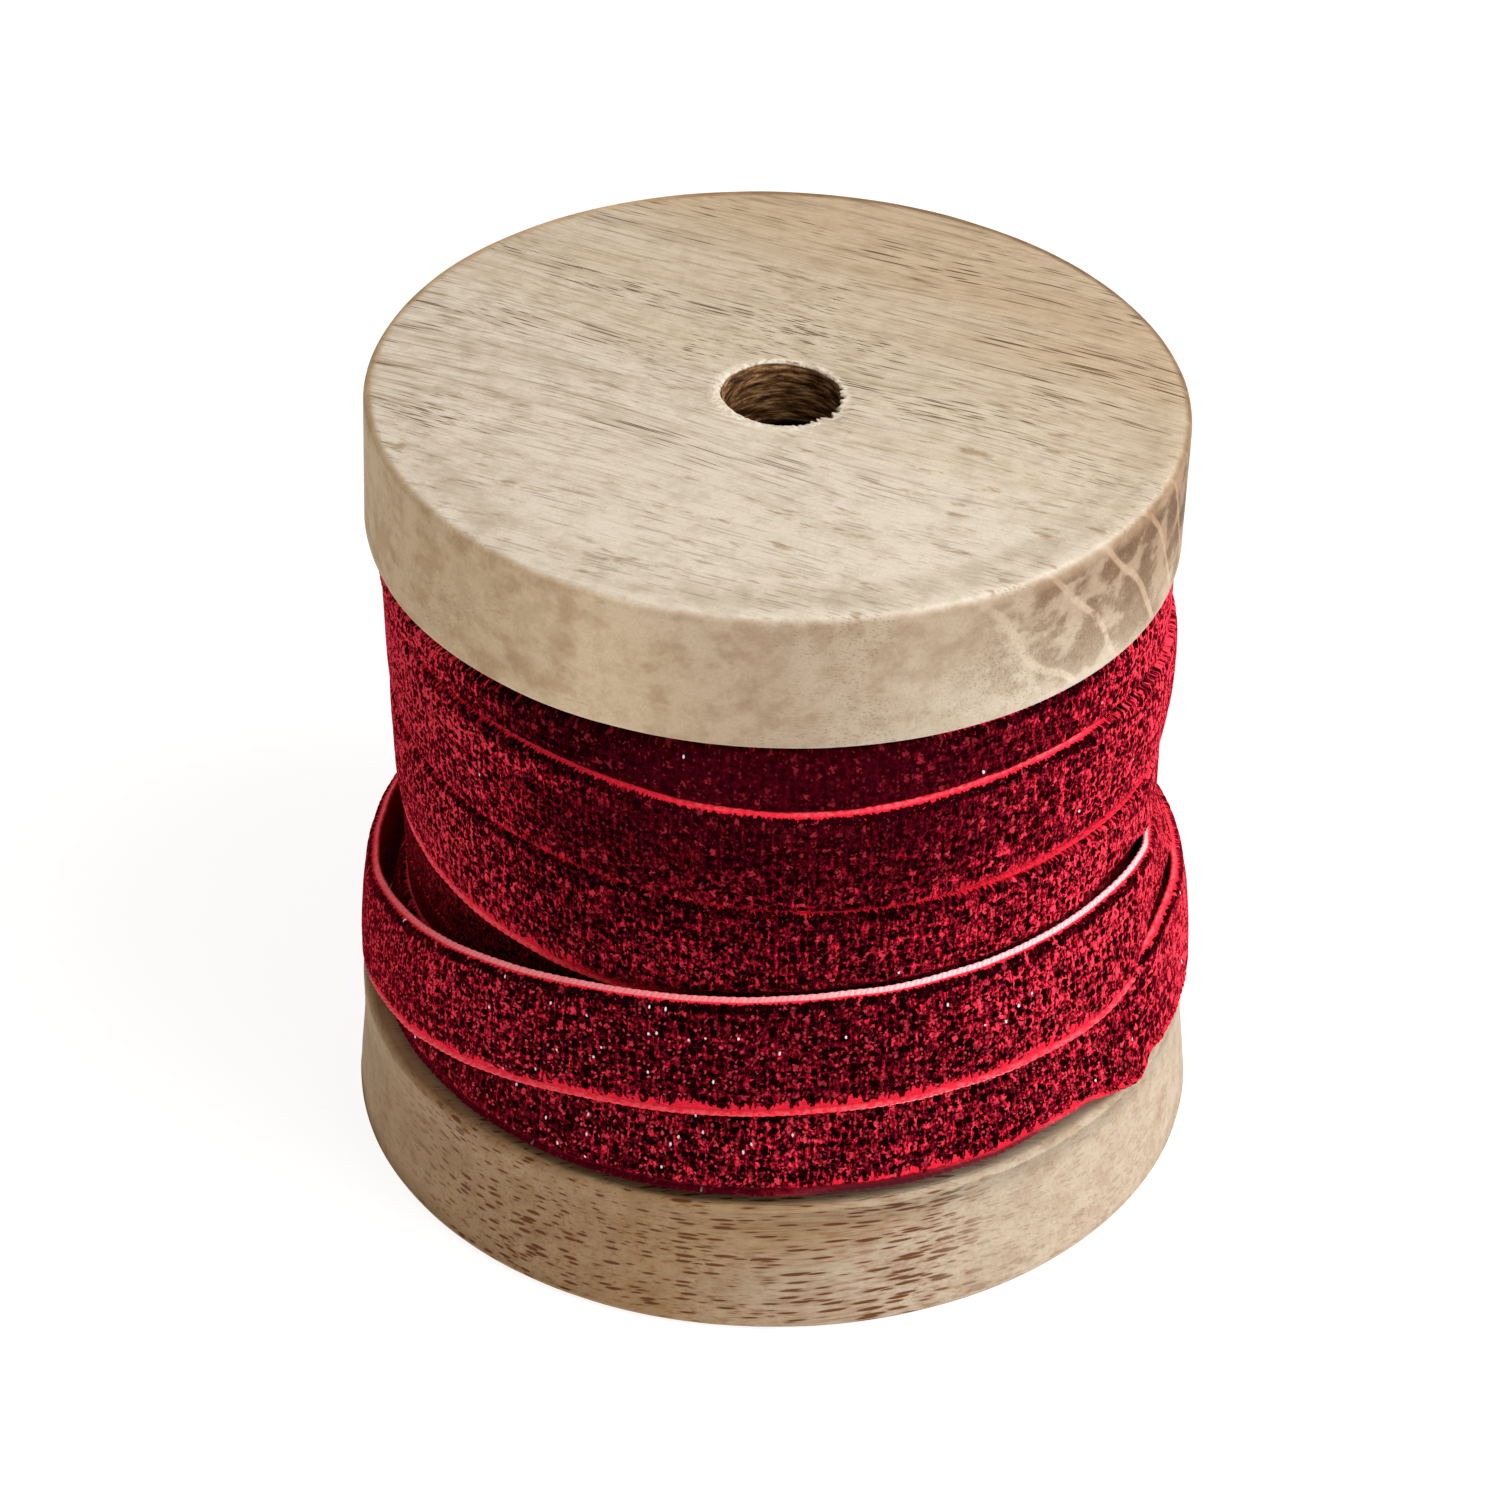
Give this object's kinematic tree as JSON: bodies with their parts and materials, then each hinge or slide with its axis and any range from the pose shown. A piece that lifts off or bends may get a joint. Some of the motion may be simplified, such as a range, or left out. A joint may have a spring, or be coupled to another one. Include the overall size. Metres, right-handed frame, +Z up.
{
  "type": "velvet ribbon roll on a wooden spool",
  "caption": "Narrow velvet ribbon wound in rows on a bored wooden spool with flat round discs, its outer turn slack; stands on its lower disc.",
  "frame": {"origin": "centre of the spool's underside, where it stands on a surface", "axes": "+Z up along the spool's axis, +X to the viewer's right, -Y towards the viewer in the picture"},
  "size_m": [0.0656, 0.0656, 0.0635],
  "materials": {
    "spool_wood": "bare sanded pale hardwood with brown pores",
    "ribbon_velvet": "deep red cut-pile velvet with bright woven selvedges"
  },
  "bodies": {
    "root": {"spool_base": "spool_wood", "spool_top": "spool_wood", "ribbon_roll": "ribbon_velvet"}
  },
  "joints": []
}
